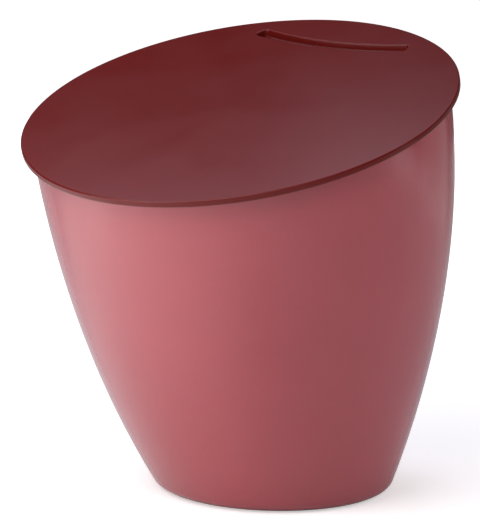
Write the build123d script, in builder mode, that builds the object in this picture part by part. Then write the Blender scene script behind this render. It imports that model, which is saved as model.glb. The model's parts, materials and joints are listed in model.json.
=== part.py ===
# Counter-top food-scraps bin: a round tub that leans forward, and a lid on its slanted rim.
# The origin is the centre of the base, on the table. +Z is up, and the low side of the lid
# faces -Y. The lid has no hinge: it locates by a ring inside the rim and lifts off.
# Lengths are in millimetres and angles in degrees.
import os
from math import acos, cos, degrees, radians, sin

from build123d import *

# Lid plate
lid_radius = 88.5
lid_thickness = 2.6
lid_edge_round = 0.6
lid_tilt = 17.0

# Tub
lid_overhang = 4.3  # how far the plate's edge stands out past the rim
rim_height = 158.2  # centre of the rim above the table
rim_forward = 28.4  # centre of the rim in front of the centre of the base
base_radius = 47.7
wall = 2.2
floor_thickness = 2.2
rim_round = 0.5
base_round = 7.0
inner_round = 6.0

# How the tub grows from its base to its rim
flare_power = 1.92  # 1 is a straight cone, more stands the wall up earlier
slope_power = 3.0  # 1 turns the sections evenly, more turns them earlier
straight_lean = 0.41  # share of the lean that is even, the rest grows with the height squared
section_count = 9

# Standing ring under the base
foot_width = 10.0
foot_recess = 1.2
foot_round = 0.6

# Locating ring under the plate
ring_clearance = 0.7  # to the tub's inner wall, all round
ring_thickness = 1.8
ring_height = 7.0
ring_round = 0.6

# Finger groove at the high side of the lid, an arc that bows towards the lid's centre
groove_inset = 24.6  # from the lid's edge to the middle of the groove
groove_arc = 136.0  # radius of the groove's centre line
groove_end_wall = 1.1  # plastic left between the groove's ends and the ring's outer face
groove_width = 6.2
groove_depth = 3.0
groove_slope = 12.0  # the draft of its walls, which open upwards
groove_corner = 2.0
groove_floor_round = 0.8
groove_lip_round = 0.5
pocket_wall = 1.8  # plastic round and under the groove
pocket_round = 1.0

# Sizes that follow from the ones above
rim_radius = lid_radius - lid_overhang
ring_radius = rim_radius - wall - ring_clearance
foot_radius = base_radius - foot_width
floor_height = foot_recess + floor_thickness
pocket_drop = groove_depth + pocket_wall - lid_thickness

# The groove's arc has its centre up the slope, and ends where its far side nears the ring
arc_centre = lid_radius - groove_inset + groove_arc
far_arc = groove_arc - groove_width / 2
end_radius = ring_radius - groove_end_wall
groove_half_turn = acos((arc_centre**2 + far_arc**2 - end_radius**2) / (2 * arc_centre * far_arc))


# A section of the tub at a share of its height, 0 at the base and 1 at the rim.
# The plane's own +X is the object's +X, and its own +Y points up the slope.
def section_plane(share):
    slope = radians(lid_tilt) * (1 - (1 - share) ** slope_power)
    forward = rim_forward * (straight_lean * share + (1 - straight_lean) * share**2)
    return Plane(
        origin=(0, -forward, rim_height * share),
        x_dir=(1, 0, 0),
        z_dir=(0, -sin(slope), cos(slope)),
    )


def section_radius(share):
    return rim_radius - (rim_radius - base_radius) * (1 - share) ** flare_power


# A solid tub through all its sections, with its surface drawn in by an inset.
def tub_solid(inset):
    with BuildPart() as tub:
        for step in range(section_count):
            share = step / (section_count - 1)
            with BuildSketch(section_plane(share)):
                Circle(section_radius(share) - inset)
        loft()
    return tub.part


# The groove's outline in the lid's own plane, grown all round by some plastic.
def groove_outline(grow):
    half_turn = degrees(groove_half_turn + grow / groove_arc)
    with BuildSketch() as outline:
        with BuildLine():
            near = CenterArc((0, arc_centre), far_arc + groove_width + grow, 270 - half_turn, 2 * half_turn)
            far = CenterArc((0, arc_centre), far_arc - grow, 270 - half_turn, 2 * half_turn)
            Line(near @ 0, far @ 0)
            Line(near @ 1, far @ 1)
        make_face()
        fillet(outline.vertices(), groove_corner + grow)
    return outline.sketch


# Planes that the lid is drawn on: its underside on the rim, and its top face.
# The lid lifts along the axis square to them.
rim_plane = section_plane(1)
top_plane = rim_plane.offset(lid_thickness)
lift_axis = Axis(rim_plane.origin, rim_plane.z_dir)

# The space inside the tub
with BuildPart() as hollow:
    add(tub_solid(wall))
    split(bisect_by=Plane.XY.offset(floor_height), keep=Keep.TOP)
    fillet(hollow.edges().sort_by(Axis.Z)[0], inner_round)

# Tub: outer form less the hollow, with a standing ring round a recessed base
with BuildPart() as bin_body:
    add(tub_solid(0))
    fillet(bin_body.edges().sort_by(Axis.Z)[0], base_round)
    add(hollow.part, mode=Mode.SUBTRACT)
    rim_face = bin_body.faces().filter_by(lift_axis).sort_by(lift_axis)[-1]
    fillet(rim_face.edges(), rim_round)
    with BuildSketch(Plane.XY):
        Circle(foot_radius)
    extrude(amount=foot_recess, mode=Mode.SUBTRACT)
    base_face = bin_body.faces().filter_by(Axis.Z).sort_by(Axis.Z)[0]
    fillet(base_face.edges().sort_by(SortBy.LENGTH)[0], foot_round)

# Pocket that carries the groove's floor and walls below the plate, kept within the ring
with BuildPart() as pocket:
    with BuildSketch(rim_plane):
        add(groove_outline(pocket_wall))
        Circle(ring_radius, mode=Mode.INTERSECT)
    extrude(amount=-pocket_drop)
    fillet(pocket.faces().sort_by(lift_axis)[0].edges(), pocket_round)

# Lid: plate with a rounded edge, locating ring and finger groove
with BuildPart() as lid:
    with BuildSketch(rim_plane):
        Circle(lid_radius)
    extrude(amount=lid_thickness)
    fillet(lid.edges(), lid_edge_round)
    with BuildSketch(rim_plane):
        Circle(ring_radius)
        Circle(ring_radius - ring_thickness, mode=Mode.SUBTRACT)
    extrude(amount=-ring_height)
    ring_face = lid.faces().filter_by(lift_axis).sort_by(lift_axis)[0]
    fillet(ring_face.edges(), ring_round)
    add(pocket.part)
    with BuildSketch(top_plane):
        add(groove_outline(0))
    extrude(amount=-groove_depth, taper=groove_slope, mode=Mode.SUBTRACT)
    groove_floor = lid.faces(Select.LAST).filter_by(lift_axis).sort_by(lift_axis)[0]
    fillet(groove_floor.edges(), groove_floor_round)
    plate_face = lid.faces().filter_by(lift_axis).sort_by(lift_axis)[-1]
    fillet(plate_face.inner_wires().edges(), groove_lip_round)

os.makedirs("parts", exist_ok=True)
for name, piece in {"bin_body": bin_body, "lid": lid}.items():
    piece.part.label = name
    export_step(piece.part, f"parts/{name}.step")
print(f"room in the tub, up to the rim: {hollow.part.volume / 1e6:.2f} litres")
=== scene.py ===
# Counter-top food-scraps bin, the looks: a glossy leaning tub and a satin lid on its slanted rim.
# Lengths are in metres. +Z is up, the low side of the lid faces -Y, and the origin is the
# centre of the base.
import json
import math

import bmesh
import bpy
from mathutils import Matrix, Vector


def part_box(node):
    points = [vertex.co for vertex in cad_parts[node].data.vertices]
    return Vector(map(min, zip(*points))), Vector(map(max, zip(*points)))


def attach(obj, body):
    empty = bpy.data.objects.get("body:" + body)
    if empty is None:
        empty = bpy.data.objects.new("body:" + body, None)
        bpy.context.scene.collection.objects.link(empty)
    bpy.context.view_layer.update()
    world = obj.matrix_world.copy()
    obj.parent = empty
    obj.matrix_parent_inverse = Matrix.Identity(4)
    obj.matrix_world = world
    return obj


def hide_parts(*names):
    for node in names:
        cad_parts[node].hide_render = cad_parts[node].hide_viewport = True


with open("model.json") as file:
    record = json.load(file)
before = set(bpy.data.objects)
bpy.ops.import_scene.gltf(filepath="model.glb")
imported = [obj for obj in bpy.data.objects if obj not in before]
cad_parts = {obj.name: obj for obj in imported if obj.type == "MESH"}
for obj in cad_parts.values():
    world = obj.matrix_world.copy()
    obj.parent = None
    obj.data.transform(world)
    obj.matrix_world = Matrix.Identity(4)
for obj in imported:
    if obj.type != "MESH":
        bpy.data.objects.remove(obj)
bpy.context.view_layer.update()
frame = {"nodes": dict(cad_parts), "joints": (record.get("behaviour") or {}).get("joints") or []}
print("frame loaded:", sorted(frame["nodes"]))

rimNormal = Vector(frame["joints"][0]["axis"])  # the lid lifts square to the rim
rimTilt = math.asin(-rimNormal.y)
roundSteps = 192  # vertices in every ring of the tub and the lid
smoothAngle = math.radians(35)  # steeper edges stay sharp
hair = 0.00003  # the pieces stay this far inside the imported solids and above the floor
placeError = 0.00002  # how far a vertex may be from the place that it is selected by
slopeError = 0.001  # the same, for the slope of the groove's ends
mergeWithin = 0.000005  # vertices this close become one


# Modelling by hand in edit mode
def editNew(name):
    piece = bpy.context.active_object
    piece.name = piece.data.name = name
    bpy.ops.object.transform_apply(location=True, rotation=True, scale=True)
    bpy.ops.object.mode_set(mode="EDIT")
    bpy.ops.mesh.select_mode(type="EDGE")
    return piece


def startRing(name, radius, height=0.0):
    bpy.ops.object.select_all(action="DESELECT")
    bpy.ops.mesh.primitive_circle_add(
        vertices=roundSteps, radius=radius, location=(0, 0, height)
    )
    return editNew(name)


def near(value, target):
    return abs(value - target) < placeError


# Selects the vertices, edges or faces whose every corner passes a test of its place
def selectWhere(kind, test):
    bpy.ops.mesh.select_mode(type={"verts": "VERT", "edges": "EDGE", "faces": "FACE"}[kind])
    bpy.ops.mesh.select_all(action="DESELECT")
    edited = bmesh.from_edit_mesh(bpy.context.edit_object.data)
    for element in getattr(edited, kind):
        corners = [element] if kind == "verts" else element.verts
        if all(test(corner.co) for corner in corners):
            element.select_set(True)
    edited.select_flush_mode()
    bmesh.update_edit_mesh(bpy.context.edit_object.data)


def selectAllFaces():
    bpy.ops.mesh.select_mode(type="FACE")
    bpy.ops.mesh.select_all(action="SELECT")


def selectOnly(*objects):
    bpy.ops.object.select_all(action="DESELECT")
    for chosen in objects:
        chosen.select_set(True)
    bpy.context.view_layer.objects.active = objects[0]


# Rounds the edges that pass a test, by one of the piece's rounds and in its number of steps
def roundEdges(test, size, roundName):
    selectWhere("edges", test)
    bpy.ops.mesh.bevel(
        offset_type="OFFSET",
        offset=size[roundName],
        segments=size[roundName + "Steps"],
        profile=0.5,
        affect="EDGES",
    )


def closeMesh():
    bpy.ops.mesh.select_all(action="SELECT")
    bpy.ops.mesh.remove_doubles(threshold=mergeWithin)
    bpy.ops.mesh.normals_make_consistent(inside=False)
    bpy.ops.object.mode_set(mode="OBJECT")


def smoothPiece(piece):
    selectOnly(piece)
    bpy.ops.object.shade_smooth_by_angle(angle=smoothAngle)
    bpy.ops.object.modifier_add(type="WEIGHTED_NORMAL")  # keeps flat faces flat beside rounds
    piece.modifiers[-1].keep_sharp = True
    bpy.ops.object.modifier_apply(modifier=piece.modifiers[-1].name)
    print(piece.name, "modelled:", len(piece.data.polygons), "faces")


tubShape = {
    "rimRadius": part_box("bin_body")[1].x - hair,
    "baseRadius": 0.0477,
    "rimHeight": 0.1582,  # centre of the rim above the table
    "rimForward": 0.0284,  # and in front of the base's centre
    "flarePower": 1.92,  # how early the wall stands up
    "slopePower": 3.0,  # how early its rings turn to the rim's slope
    "straightLean": 0.41,  # share of the lean that grows evenly
    "wallRings": 44,
    "firstRing": 0.05,  # share of the height where the rings above the base start
    "wall": 0.0022,
    "floorHeight": 0.0034,
    "baseRound": 0.0046,  # how far each round reaches from its edge
    "baseRoundSteps": 10,
    "insideRound": 0.0039,
    "insideRoundSteps": 8,
    "rimRound": 0.0005,
    "rimRoundSteps": 4,
    "footRadius": 0.0377,  # inside of the standing ring
    "footRecess": 0.0012,
    "footRound": 0.0006,
    "footRoundSteps": 3,
    "gateRadius": 0.0022,  # the mark that the mould's gate leaves under the base
    "gateTaper": 0.8,  # its floor against its mouth
    "gateDepth": 0.0003,
}


# A ring of the tub at a share of its height, 0 at the base and 1 at the rim
def tubRing(share, inset=0.0):
    slope = rimTilt * (1 - (1 - share) ** tubShape["slopePower"])
    lean = tubShape["straightLean"]
    forward = tubShape["rimForward"] * (lean * share + (1 - lean) * share**2)
    growth = tubShape["rimRadius"] - tubShape["baseRadius"]
    flare = growth * (1 - share) ** tubShape["flarePower"]
    centre = Vector((0, -forward, tubShape["rimHeight"] * share))
    return centre, slope, tubShape["rimRadius"] - flare - inset


# Extrudes the selected ring to a new centre, slope and radius. last holds the ones it has.
def extrudeRing(last, centre, slope, radius):
    bpy.ops.mesh.extrude_region_move(TRANSFORM_OT_translate={"value": centre - last[0]})
    bpy.ops.transform.resize(value=(radius / last[2],) * 3, center_override=centre)
    # with no window this tool turns the other way, so the angle is given the other way too
    bpy.ops.transform.rotate(value=last[1] - slope, orient_axis="X", center_override=centre)
    return centre, slope, radius


# Tub: rings from the base up the outside, over the rim and down the inside
def makeTub():
    size = tubShape
    base = Vector((0, 0, 0))
    tub = startRing("tub", size["baseRadius"])
    ring = (base, 0.0, size["baseRadius"])
    step = (1 - size["firstRing"]) / size["wallRings"]
    shares = [size["firstRing"] + step * k for k in range(size["wallRings"] + 1)]
    for share in shares:
        ring = extrudeRing(ring, *tubRing(share))
    for share in reversed(shares[1:]):
        ring = extrudeRing(ring, *tubRing(share, size["wall"]))
    centre, _, radius = tubRing(size["floorHeight"] / size["rimHeight"], size["wall"])
    extrudeRing(ring, centre, 0.0, radius)
    bpy.ops.mesh.edge_face_add()  # the floor inside

    # the standing ring, the recess inside it and the gate's mark
    selectWhere("edges", lambda p: near(p.z, 0))
    recess = Vector((0, 0, size["footRecess"]))
    gate = Vector((0, 0, size["footRecess"] + size["gateDepth"]))
    ring = (base, 0.0, size["baseRadius"])
    for centre, radius in (
        (base, size["footRadius"]),
        (recess, size["footRadius"]),
        (recess, size["gateRadius"]),
        (gate, size["gateRadius"] * size["gateTaper"]),
    ):
        ring = extrudeRing(ring, centre, 0.0, radius)
    bpy.ops.mesh.edge_face_add()

    rimCentre = tubRing(1)[0]
    rimMiddle = size["rimRadius"] - size["wall"] / 2

    def onRim(p):
        return near((p - rimCentre).dot(rimNormal), 0)

    def onTable(p, radius):
        return near(p.z, 0) and near(p.xy.length, radius)

    roundEdges(lambda p: near(p.z, size["floorHeight"]), size, "insideRound")
    roundEdges(lambda p: onTable(p, size["baseRadius"]), size, "baseRound")
    roundEdges(lambda p: onTable(p, size["footRadius"]), size, "footRound")
    roundEdges(lambda p: onRim(p) and (p - rimCentre).length > rimMiddle, size, "rimRound")
    roundEdges(lambda p: onRim(p) and (p - rimCentre).length < rimMiddle, size, "rimRound")
    closeMesh()
    smoothPiece(tub)
    return tub


lidShape = {
    "radius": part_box("lid")[1].x - hair,
    "thickness": 0.0026,
    "edgeRound": 0.0006,
    "edgeRoundSteps": 6,
    "ringGap": 0.0007,  # from the locating ring to the tub's wall
    "ringThickness": 0.0018,
    "ringHeight": 0.0070,
    "ringRound": 0.0006,
    "ringRoundSteps": 3,
    "grooveInset": 0.0246,  # from the lid's edge to the middle of the groove
    "grooveArc": 0.1360,  # radius of the groove's middle line
    "grooveSteps": 20,
    "grooveEndWall": 0.0011,  # plastic between the groove's ends and the outside of the ring
    "grooveWidth": 0.0062,
    "grooveDepth": 0.0030,
    "grooveSlope": math.radians(12),  # the draft of its walls, which open upwards
    "grooveCorner": 0.0020,
    "grooveCornerSteps": 7,
    "grooveLip": 0.0005,
    "grooveLipSteps": 4,
    "grooveFloorRound": 0.0008,
    "grooveFloorRoundSteps": 5,
    "pocketWall": 0.0018,  # plastic round and under the groove
    "pocketRound": 0.0010,
    "pocketRoundSteps": 4,
}
ringRadius = tubShape["rimRadius"] - tubShape["wall"] - lidShape["ringGap"]


# The groove's outline as one face: a short edge swung to the groove's end and spun to the other
def grooveOutline(name, height, grow, endGrow):
    size = lidShape
    arc = size["grooveArc"]
    arcCentre = Vector((0, size["radius"] - size["grooveInset"] + arc, height))
    farArc = arc - size["grooveWidth"] / 2
    endRadius = ringRadius - size["grooveEndWall"]
    halfTurn = math.acos((arcCentre.y**2 + farArc**2 - endRadius**2) / (2 * arcCentre.y * farArc))
    halfTurn += endGrow / arc
    width = size["grooveWidth"] + 2 * grow
    bpy.ops.object.select_all(action="DESELECT")
    bpy.ops.mesh.primitive_plane_add(size=width, location=(width / 2, arcCentre.y - arc, height))
    outline = editNew(name)
    selectWhere("verts", lambda p: p.x > width / 2)
    bpy.ops.mesh.delete(type="VERT")
    bpy.ops.mesh.select_all(action="SELECT")
    bpy.ops.transform.rotate(value=halfTurn, orient_axis="Z", center_override=arcCentre)
    bpy.ops.mesh.spin(
        steps=size["grooveSteps"], angle=-2 * halfTurn, center=arcCentre, axis=(0, 0, 1)
    )
    selectAllFaces()
    bpy.ops.mesh.dissolve_faces()
    endSlope = math.tan(halfTurn) - slopeError
    selectWhere("verts", lambda p: abs(p.x) > endSlope * (arcCentre.y - p.y))
    bpy.ops.mesh.bevel(
        offset=size["grooveCorner"] + grow, segments=size["grooveCornerSteps"], affect="VERTICES"
    )
    return outline


# Rounds the selected face's border downwards: a lip turns down from flat, and the round at
# the foot of a wall turns in from the wall
def roundDown(radius, steps, fromWall):
    turns = [math.pi / 2 * k / steps for k in range(steps + 1)]
    reach = [math.sin(turn) for turn in turns]
    sink = [1 - math.cos(turn) for turn in turns]
    if fromWall:
        reach, sink = sink, reach
    for k in range(steps):
        bpy.ops.mesh.inset(thickness=radius * (reach[k + 1] - reach[k]), depth=0)
        bpy.ops.transform.translate(value=(0, 0, -radius * (sink[k + 1] - sink[k])))


def makeGroove():
    size = lidShape
    lip, floorRound = size["grooveLip"], size["grooveFloorRound"]
    wallDepth = size["grooveDepth"] - lip - floorRound
    groove = grooveOutline("groove", size["thickness"], lip, lip)
    selectAllFaces()
    roundDown(lip, size["grooveLipSteps"], fromWall=False)
    bpy.ops.mesh.inset(thickness=wallDepth * math.tan(size["grooveSlope"]), depth=0)
    bpy.ops.transform.translate(value=(0, 0, -wallDepth))
    roundDown(floorRound, size["grooveFloorRoundSteps"], fromWall=True)
    bpy.ops.object.mode_set(mode="OBJECT")
    return groove


# The plastic that carries the groove below the plate
def makePocket():
    size = lidShape
    bottom = size["thickness"] - size["grooveDepth"] - size["pocketWall"]
    middle = size["thickness"] / 2
    pocket = grooveOutline("pocket", middle, size["pocketWall"], size["grooveEndWall"])
    selectAllFaces()
    bpy.ops.mesh.extrude_region_move(TRANSFORM_OT_translate={"value": (0, 0, bottom - middle)})
    roundEdges(lambda p: near(p.z, bottom), size, "pocketRound")
    closeMesh()
    return pocket


# Lid: modelled flat, its underside at height 0, then laid on the rim
def makeLid():
    size = lidShape
    top = size["thickness"]
    innerRing = ringRadius - size["ringThickness"]
    lid = startRing("lidPlate", size["radius"], top)
    bpy.ops.mesh.edge_face_add()
    ring = (Vector((0, 0, top)), 0.0, size["radius"])
    for height, radius in (
        (0, size["radius"]),
        (0, ringRadius),
        (-size["ringHeight"], ringRadius),
        (-size["ringHeight"], innerRing),
        (0, innerRing),
    ):
        selectWhere("edges", lambda p: near(p.z, ring[0].z) and near(p.xy.length, ring[2]))
        ring = extrudeRing(ring, Vector((0, 0, height)), 0.0, radius)
    bpy.ops.mesh.edge_face_add()

    def onEdge(p, height):
        return near(p.xy.length, size["radius"]) and near(p.z, height)

    roundEdges(lambda p: onEdge(p, top), size, "edgeRound")
    roundEdges(lambda p: onEdge(p, 0), size, "edgeRound")
    roundEdges(lambda p: near(p.z, -size["ringHeight"]), size, "ringRound")
    closeMesh()

    pocket = makePocket()
    selectOnly(lid)
    bpy.ops.object.modifier_add(type="BOOLEAN")
    lid.modifiers[-1].operation = "UNION"
    lid.modifiers[-1].object = pocket
    bpy.ops.object.modifier_apply(modifier=lid.modifiers[-1].name)
    bpy.data.objects.remove(pocket)

    # the top face opens round the groove
    groove = makeGroove()
    selectOnly(lid, groove)
    bpy.ops.object.join()
    bpy.ops.object.mode_set(mode="EDIT")
    topEdge = size["radius"] - 2 * size["edgeRound"]
    selectWhere("faces", lambda p: near(p.z, top) and p.xy.length > topEdge)
    bpy.ops.mesh.delete(type="ONLY_FACE")
    bpy.ops.mesh.select_mode(type="EDGE")
    bpy.ops.mesh.select_all(action="DESELECT")
    bpy.ops.mesh.select_non_manifold()
    bpy.ops.mesh.fill()
    closeMesh()

    lid.rotation_euler.x = rimTilt
    lid.location = tubRing(1)[0]
    selectOnly(lid)
    bpy.ops.object.transform_apply(location=True, rotation=True, scale=True)
    smoothPiece(lid)
    return lid


# Adds a shader node with its settings. An input is given a value, or another node's output.
def addNode(tree, kind, inputs=None, **settings):
    node = tree.nodes.new("ShaderNode" + kind)
    for name, value in settings.items():
        setattr(node, name, value)
    for label, value in (inputs or {}).items():
        if isinstance(value, bpy.types.NodeSocket):
            tree.links.new(value, node.inputs[label])
        else:
            node.inputs[label].default_value = value
    return node


def addMath(tree, operation, *values):
    return addNode(tree, "Math", dict(enumerate(values)), operation=operation).outputs[0]


def addVectorMath(tree, operation, *values):
    return addNode(tree, "VectorMath", dict(enumerate(values)), operation=operation).outputs


# Spreads a value from one range over another
def addSpread(tree, value, given, wanted=(0.0, 1.0), **settings):
    ranges = dict(zip(("From Min", "From Max", "To Min", "To Max"), (*given, *wanted)))
    return addNode(tree, "MapRange", {"Value": value, **ranges}, **settings).outputs[0]


def addNoise(tree, vector, scale, detail):
    inputs = {"Vector": vector, "Scale": scale, "Detail": detail}
    return addNode(tree, "TexNoise", inputs).outputs["Fac"]


def newGroup(name, inputs, output):
    group = bpy.data.node_groups.new(name, "ShaderNodeTree")
    for label, kind in inputs.items():
        group.interface.new_socket(name=label, in_out="INPUT", socket_type="NodeSocket" + kind)
    label, kind = output
    group.interface.new_socket(name=label, in_out="OUTPUT", socket_type="NodeSocket" + kind)
    return group, group.nodes.new("NodeGroupInput"), group.nodes.new("NodeGroupOutput")


# How the shared shader groups vary a surface. Scales are per metre.
surfaceDrift = {
    "patchScale": 22.0,
    "patchDetail": 2.0,
    "mottleScale": 700.0,
    "mottleDetail": 3.0,
    "mottleShare": 0.35,  # how much of the mottle is added to the patches
    "colourRange": (0.45, 0.90),  # of their sum, from the first shade to the paler one
    "smudgeScale": 35.0,
    "smudgeDetail": 4.0,
    "smudgeRange": (0.35, 0.65),
}


# Colour that drifts between two shades in broad patches, with a fine mottle on top
def makeColourDrift():
    group, given, result = newGroup(
        "colour drift",
        {"Vector": "Vector", "Shade": "Color", "Paler": "Color"},
        ("Color", "Color"),
    )
    drift, place = surfaceDrift, given.outputs["Vector"]
    patches = addNoise(group, place, drift["patchScale"], drift["patchDetail"])
    mottle = addNoise(group, place, drift["mottleScale"], drift["mottleDetail"])
    both = addMath(group, "MULTIPLY_ADD", mottle, drift["mottleShare"], patches)
    # a Mix node has its colours in inputs 6 and 7 and output 2
    mixed = {
        "Factor": addSpread(group, both, drift["colourRange"]),
        6: given.outputs["Shade"],
        7: given.outputs["Paler"],
    }
    mix = addNode(group, "Mix", mixed, data_type="RGBA")
    group.links.new(mix.outputs[2], result.inputs["Color"])
    return group


# Roughness that drifts between two values in smudges
def makeGlossDrift():
    group, given, result = newGroup(
        "gloss drift",
        {"Vector": "Vector", "Low": "Float", "High": "Float"},
        ("Roughness", "Float"),
    )
    drift, wanted = surfaceDrift, (given.outputs["Low"], given.outputs["High"])
    smudge = addNoise(group, given.outputs["Vector"], drift["smudgeScale"], drift["smudgeDetail"])
    roughness = addSpread(group, smudge, drift["smudgeRange"], wanted)
    group.links.new(roughness, result.inputs["Roughness"])
    return group


# Height of the moulded surface: soft ripples at a low scale, or eroded grain at a high one
def makeMouldedSurface():
    group, given, result = newGroup(
        "moulded surface",
        {"Vector": "Vector", "Scale": "Float", "Detail": "Float"},
        ("Height", "Float"),
    )
    relief = addNoise(group, *(given.outputs[label] for label in ("Vector", "Scale", "Detail")))
    group.links.new(relief, result.inputs["Height"])
    return group


# A mask that is 1 outside a radius from the upright axis, and fades out inside it
def makeOutsideRadius():
    group, given, result = newGroup(
        "outside radius",
        {"Vector": "Vector", "Radius": "Float", "Blend": "Float"},
        ("Mask", "Float"),
    )
    flat = addVectorMath(group, "MULTIPLY", given.outputs["Vector"], (1, 1, 0))
    length = addVectorMath(group, "LENGTH", flat["Vector"])
    inner = addMath(group, "SUBTRACT", given.outputs["Radius"], given.outputs["Blend"])
    mask = addSpread(group, length["Value"], (inner, given.outputs["Radius"]))
    group.links.new(mask, result.inputs["Mask"])
    return group


def placeGroup(tree, group, vector, **values):
    return addNode(tree, "Group", {"Vector": vector, **values}, node_tree=group).outputs[0]


def newMaterial(name):
    material = bpy.data.materials.new(name)
    material.use_nodes = True
    tree = material.node_tree
    place = addNode(tree, "TexCoord").outputs["Object"]
    return material, tree, tree.nodes["Principled BSDF"], place


tubFinish = {
    "colour": (0.350, 0.0596, 0.0728),
    "paler": (0.372, 0.0646, 0.0784),
    "roughness": (0.13, 0.17),
    "reliefScale": 240.0,  # ripples per metre in the moulded gloss
    "reliefDetail": 1.0,
    "reliefHeight": 0.00002,
}

lidFinish = {
    "colour": (0.110, 0.0046, 0.0032),
    "paler": (0.116, 0.0054, 0.0038),
    "roughness": (0.28, 0.32),
    "edgeRoughness": 0.24,  # the rounded edge is polished
    "specular": 0.25,
    "reliefScale": 3200.0,  # grains per metre in the spark-eroded top
    "reliefDetail": 3.0,
    "reliefHeight": 0.000012,
}


# Gives a plastic its drifting colour and its moulded relief, and returns its roughness
def addPlastic(tree, shader, place, finish):
    shades = {"Shade": (*finish["colour"], 1), "Paler": (*finish["paler"], 1)}
    tree.links.new(placeGroup(tree, colourDrift, place, **shades), shader.inputs["Base Color"])
    grain = {"Scale": finish["reliefScale"], "Detail": finish["reliefDetail"]}
    height = placeGroup(tree, mouldedSurface, place, **grain)
    bump = addNode(tree, "Bump", {"Height": height, "Distance": finish["reliefHeight"]})
    tree.links.new(bump.outputs["Normal"], shader.inputs["Normal"])
    low, high = finish["roughness"]
    return placeGroup(tree, glossDrift, place, Low=low, High=high)


def makeTubPlastic():
    material, tree, shader, place = newMaterial("gloss tub plastic")
    roughness = addPlastic(tree, shader, place, tubFinish)
    tree.links.new(roughness, shader.inputs["Roughness"])
    return material


def makeLidPlastic():
    material, tree, shader, place = newMaterial("satin lid plastic")
    onRim = {"Vector": place, "Location": tubRing(1)[0], "Rotation": (rimTilt, 0, 0)}
    onLid = addNode(tree, "Mapping", onRim, vector_type="TEXTURE")  # back to the flat lid
    place = onLid.outputs["Vector"]
    roughness = addPlastic(tree, shader, place, lidFinish)
    halfRound = lidShape["edgeRound"] / 2
    polished = placeGroup(
        tree, outsideRadius, place, Radius=lidShape["radius"] - halfRound, Blend=halfRound
    )
    # a Mix node has its numbers in inputs 2 and 3 and output 0
    mixed = {"Factor": polished, 2: roughness, 3: lidFinish["edgeRoughness"]}
    tree.links.new(addNode(tree, "Mix", mixed).outputs[0], shader.inputs["Roughness"])
    shader.inputs["Specular IOR Level"].default_value = lidFinish["specular"]
    return material


studio = {
    "white": (1, 1, 1, 1),
    "ambient": 0.08,
    "surround": (0.30, 0.00),  # what gloss sees of the room, level and overhead
    "surroundFade": (0.15, 0.50),  # heights of the direction where the one becomes the other
    "roomColour": (0.80, 0.80, 0.88, 1),
}


# World: a low even light. Gloss sees a pale room that darkens upwards, the camera sees white.
def makeWorld():
    world = bpy.data.worlds.new("studio")
    bpy.context.scene.world = world
    world.use_nodes = True
    tree = world.node_tree
    ambient = tree.nodes["Background"]
    ambient.inputs["Color"].default_value = studio["white"]
    ambient.inputs["Strength"].default_value = studio["ambient"]
    direction = addNode(tree, "TexCoord").outputs["Generated"]
    height = addNode(tree, "SeparateXYZ", {0: direction}).outputs["Z"]
    roomLight = addSpread(tree, height, studio["surroundFade"], studio["surround"])
    room = addNode(tree, "Background", {"Color": studio["roomColour"], "Strength": roomLight})
    backdrop = addNode(tree, "Background", {"Color": studio["white"]})
    rays = addNode(tree, "LightPath").outputs
    seen = ambient.outputs[0]
    for label, view in (
        ("Is Glossy Ray", room),
        ("Is Transmission Ray", backdrop),
        ("Is Camera Ray", backdrop),
    ):
        mix = addNode(tree, "MixShader", {0: rays[label], 1: seen, 2: view.outputs[0]})
        seen = mix.outputs[0]
    tree.links.new(seen, tree.nodes["World Output"].inputs["Surface"])


floorLook = {
    "size": 12.0,
    "colour": (0.82, 0.82, 0.82, 1),
    "roughness": 0.9,
    "specular": 0.0,
    "whiteness": (0.50, 1.00),  # added for the camera, near the bin and far from it
    "whiteFade": (0.10, 0.60),  # distances where the one becomes the other
    "paintedGlow": (0.00, 0.20),  # painted glow that gloss sees of the floor, to the right and to the left
    "paintedGlowTowards": (-0.82, -0.57, 0),  # the left side of the room
    "paintedGlowFade": (-0.15, 0.30),  # distances that way where the one becomes the other
    "paintedPoolCentre": (-0.20, -0.20, 0.0),  # a painted pool of brighter light on it before the bin, seen only in gloss
    "paintedPoolReach": (0.32, 0.20, 1.0),
    "paintedPoolStrength": 1.65,
}


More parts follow.
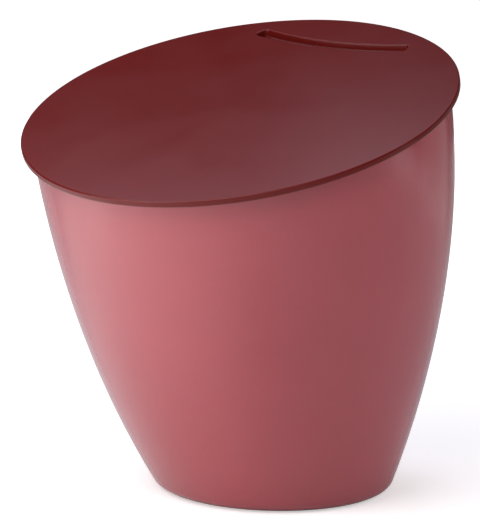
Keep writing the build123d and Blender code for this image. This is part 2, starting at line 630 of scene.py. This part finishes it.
# Floor: pale, and it keeps the bin's shadow. In reflections it glows with painted light, a side
# glow and a brighter pool before the bin, standing in for the floor lit by the lamps.
def makeFloor():
    look = floorLook
    bpy.ops.object.select_all(action="DESELECT")
    bpy.ops.mesh.primitive_plane_add(size=look["size"], location=(0, 0, -hair))
    floor = bpy.context.active_object
    floor.name = "floor"
    material, tree, shader, place = newMaterial("white floor")
    shader.inputs["Base Color"].default_value = look["colour"]
    shader.inputs["Roughness"].default_value = look["roughness"]
    shader.inputs["Specular IOR Level"].default_value = look["specular"]
    shader.inputs["Emission Color"].default_value = studio["white"]

    # painted light: the floor glows brighter towards the left of the room, only where gloss sees it
    across = addVectorMath(tree, "DOT_PRODUCT", place, look["paintedGlowTowards"])
    paintedGlow = addSpread(tree, across["Value"], look["paintedGlowFade"], look["paintedGlow"])
    # painted light: a pool of brighter light on the floor before the bin, seen only in reflections
    inPaintedPool = {"Vector": place, "Location": look["paintedPoolCentre"], "Scale": look["paintedPoolReach"]}
    paintedPoolPlace = addNode(tree, "Mapping", inPaintedPool, vector_type="TEXTURE").outputs["Vector"]
    paintedPool = addNode(tree, "TexGradient", {"Vector": paintedPoolPlace}, gradient_type="SPHERICAL")
    both = addMath(tree, "MULTIPLY_ADD", paintedPool.outputs["Fac"], look["paintedPoolStrength"], paintedGlow)
    # the painted glow and pool reach only glossy rays
    rays = addNode(tree, "LightPath").outputs
    paintedLightForGloss = addMath(tree, "MULTIPLY", both, rays["Is Glossy Ray"])

    reach = addVectorMath(tree, "LENGTH", place)["Value"]
    forCamera = addSpread(
        tree, reach, look["whiteFade"], look["whiteness"], interpolation_type="SMOOTHSTEP"
    )
    seen = addMath(tree, "MULTIPLY_ADD", rays["Is Camera Ray"], forCamera, paintedLightForGloss)
    tree.links.new(seen, shader.inputs["Emission Strength"])
    floor.data.materials.append(material)


coolWhite = (1.0, 1.0, 1.2)

# Lamps: an upright box faces the bin, and one that is down hangs level over it
softboxes = {
    "keyLeft": {"place": (-0.26, -0.64, 0.19), "size": (0.60, 0.36), "power": 2.41},
    "sideRight": {
        "place": (0.66, 0.45, 0.33), "size": (0.30, 0.60), "power": 2.90, "inGloss": False,
    },
    "overhead": {"place": (-0.01, -0.40, 0.46), "size": (0.50, 0.34), "power": 2.90, "down": True},
    "overheadRight": {
        "place": (0.30, -0.25, 0.46), "size": (0.30, 0.30), "power": 0.30,
        "down": True, "colour": coolWhite,
    },
    # the next three give the lid its mauve sheen
    "sheenBack": {
        "place": (-0.02, 0.12, 0.46), "size": (0.18, 0.18), "power": 0.21,
        "down": True, "colour": coolWhite,
    },
    "sheenSide": {
        "place": (-0.23, 0.05, 0.46), "size": (0.18, 0.18), "power": 0.29,
        "down": True, "colour": coolWhite,
    },
    "sheenFar": {
        "place": (-0.12, 0.15, 0.46), "size": (0.16, 0.16), "power": 0.165,
        "down": True, "colour": coolWhite,
    },
    "lowCard": {"place": (0.20, 0.46, 0.06), "size": (0.30, 0.12), "power": 0.027},
    "backFill": {
        "place": (-0.55, 0.80, 0.20), "size": (0.60, 0.36), "power": 1.50, "inGloss": False,
    },
}


def addSoftbox(name, place, size, power, down=False, inGloss=True, colour=(1, 1, 1)):
    bpy.ops.object.light_add(type="AREA", location=place)
    lamp = bpy.context.active_object
    lamp.name = name
    lamp.data.shape = "RECTANGLE"
    lamp.data.size, lamp.data.size_y = size
    lamp.data.energy = power
    lamp.data.color = colour
    lamp.visible_camera = False
    lamp.visible_glossy = inGloss
    if not down:
        fromBin = Vector((place[0], place[1], 0))
        lamp.rotation_euler = fromBin.to_track_quat("Z", "Y").to_euler()


cameraView = {
    "aim": Vector((-0.012632, -0.008838, 0.091488)),
    "distance": 1.62388,
    "azimuth": 35.168,  # degrees round from -Y
    "elevation": 10.977,
    "roll": 1.0,
    "lens": 270.2,
}


def addCamera():
    view = cameraView
    azimuth, elevation, roll = (math.radians(view[key]) for key in ("azimuth", "elevation", "roll"))
    back = Vector((
        math.sin(azimuth) * math.cos(elevation),
        -math.cos(azimuth) * math.cos(elevation),
        math.sin(elevation),
    ))
    level = Vector((math.cos(azimuth), math.sin(azimuth), 0))
    upright = back.cross(level)
    right = level * math.cos(roll) + upright * math.sin(roll)
    up = upright * math.cos(roll) - level * math.sin(roll)
    bpy.ops.object.camera_add(location=view["aim"] + back * view["distance"])
    camera = bpy.context.active_object
    camera.rotation_euler = Matrix((right, up, back)).transposed().to_euler()
    camera.data.lens = view["lens"]
    bpy.context.scene.camera = camera


tub = makeTub()
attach(tub, "bin")
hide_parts("bin_body")
lid = makeLid()
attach(lid, "lid")
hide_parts("lid")

colourDrift = makeColourDrift()
glossDrift = makeGlossDrift()
mouldedSurface = makeMouldedSurface()
outsideRadius = makeOutsideRadius()
tub.data.materials.append(makeTubPlastic())
lid.data.materials.append(makeLidPlastic())
print("plastics made")

makeWorld()
makeFloor()
for name, settings in softboxes.items():
    addSoftbox(name, **settings)
addCamera()
bpy.context.scene.view_settings.view_transform = "Standard"
print("studio set")
